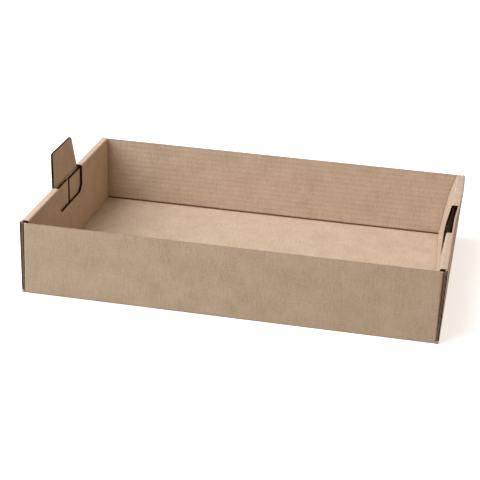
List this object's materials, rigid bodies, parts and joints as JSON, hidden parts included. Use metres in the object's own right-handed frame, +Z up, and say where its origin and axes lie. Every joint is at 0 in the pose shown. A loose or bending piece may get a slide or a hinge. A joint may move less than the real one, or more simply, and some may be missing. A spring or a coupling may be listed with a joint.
{
  "type": "cardboard tray box",
  "caption": "Open, shallow shipping tray folded from corrugated board, with roll-over end walls and a raised tab that hinges at one end.",
  "frame": {"origin": "middle of the underside of the base, which the tray rests on", "axes": "+Z up; +X along the tray, away from the end with the raised tab; +Y across it, to the rear long wall"},
  "size_m": [0.6057, 0.4, 0.1579],
  "materials": {
    "board": "matt brown kraft liner over fluted board"
  },
  "bodies": {
    "tray": {"tray": "board"},
    "tab": {"left_tab": "board"}
  },
  "joints": [
    {"name": "left_tab_fold", "type": "hinge", "parent": "tray", "child": "tab", "pos_m": [-0.2985, 0, 0.10615], "axis": [0, -1, 0], "range_deg": [-6, 168]}
  ]
}
